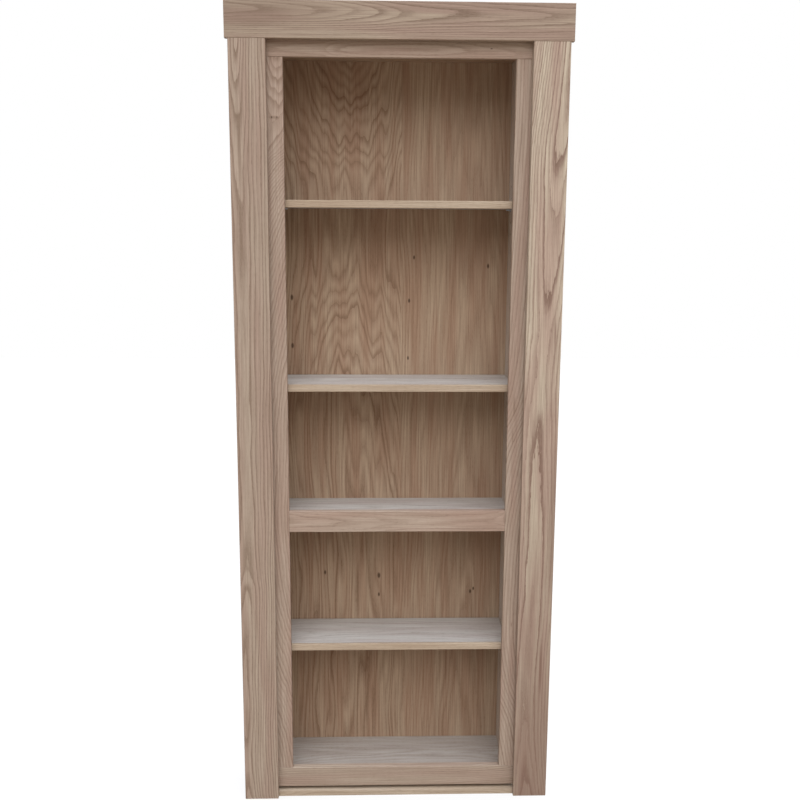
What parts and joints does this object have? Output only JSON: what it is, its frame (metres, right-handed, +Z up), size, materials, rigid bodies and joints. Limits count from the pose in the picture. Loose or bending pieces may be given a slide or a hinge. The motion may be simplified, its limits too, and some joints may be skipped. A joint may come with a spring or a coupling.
{
  "type": "hidden door bookcase",
  "caption": "Tall shallow bookcase hung as a door in a cased frame, with a flat face frame, fixed and adjustable shelves, butt hinges on the left and a pull behind",
  "frame": {"origin": "on the floor under the sill, midway between the jambs, on the plane of the wall's front face", "axes": "+Z up, -Y out of the front towards the viewer, +X to the right seen from the front"},
  "size_m": [0.863, 0.2705, 2.13],
  "materials": {
    "casing_oak": "sanded, unfinished red oak",
    "jamb_oak": "sanded, unfinished red oak",
    "sill_oak": "sanded, unfinished red oak",
    "face_frame_oak": "sanded, unfinished red oak",
    "oak_plywood": "sanded red oak veneer",
    "edging_oak": "sanded, unfinished red oak",
    "satin_steel": "satin plated steel",
    "zinc_steel": "zinc plated steel",
    "magnet_nickel": "nickel plated magnet"
  },
  "bodies": {
    "door_frame": {"left_jamb": "jamb_oak", "right_jamb": "jamb_oak", "head_jamb": "jamb_oak", "sill": "sill_oak", "left_casing": "casing_oak", "right_casing": "casing_oak", "header_casing": "casing_oak", "top_hinge_jamb_leaf": "satin_steel", "top_hinge_pin": "satin_steel", "middle_hinge_jamb_leaf": "satin_steel", "middle_hinge_pin": "satin_steel", "bottom_hinge_jamb_leaf": "satin_steel", "bottom_hinge_pin": "satin_steel", "top_magnet": "magnet_nickel", "bottom_magnet": "magnet_nickel"},
    "bookcase": {"left_side": "oak_plywood", "right_side": "oak_plywood", "top_panel": "oak_plywood", "bottom_panel": "oak_plywood", "fixed_shelf": "oak_plywood", "back_panel": "oak_plywood", "left_stile": "face_frame_oak", "right_stile": "face_frame_oak", "top_rail": "face_frame_oak", "middle_rail": "face_frame_oak", "bottom_rail": "face_frame_oak", "hinge_batten": "jamb_oak", "rear_pull": "satin_steel", "top_hinge_case_leaf": "satin_steel", "middle_hinge_case_leaf": "satin_steel", "bottom_hinge_case_leaf": "satin_steel", "top_strike": "zinc_steel", "bottom_strike": "zinc_steel", "upper_shelf_left_front_pin": "zinc_steel", "upper_shelf_left_back_pin": "zinc_steel", "upper_shelf_right_front_pin": "zinc_steel", "upper_shelf_right_back_pin": "zinc_steel", "middle_shelf_left_front_pin": "zinc_steel", "middle_shelf_left_back_pin": "zinc_steel", "middle_shelf_right_front_pin": "zinc_steel", "middle_shelf_right_back_pin": "zinc_steel", "lower_shelf_left_front_pin": "zinc_steel", "lower_shelf_left_back_pin": "zinc_steel", "lower_shelf_right_front_pin": "zinc_steel", "lower_shelf_right_back_pin": "zinc_steel"},
    "upper_shelf_board": {"upper_shelf": "oak_plywood", "upper_shelf_edging": "edging_oak"},
    "middle_shelf_board": {"middle_shelf": "oak_plywood", "middle_shelf_edging": "edging_oak"},
    "lower_shelf_board": {"lower_shelf": "oak_plywood", "lower_shelf_edging": "edging_oak"}
  },
  "joints": [
    {"name": "door_hinge", "type": "hinge", "parent": "door_frame", "child": "bookcase", "pos_m": [-0.3595, 0.1235, 0], "axis": [0, 0, 1], "range_deg": [0, 100]},
    {"name": "upper_shelf_lift", "type": "slide", "parent": "bookcase", "child": "upper_shelf_board", "axis": [0, 0, 1], "range_m": [0, 0.06]},
    {"name": "middle_shelf_lift", "type": "slide", "parent": "bookcase", "child": "middle_shelf_board", "axis": [0, 0, 1], "range_m": [0, 0.06]},
    {"name": "lower_shelf_lift", "type": "slide", "parent": "bookcase", "child": "lower_shelf_board", "axis": [0, 0, 1], "range_m": [0, 0.06]}
  ]
}
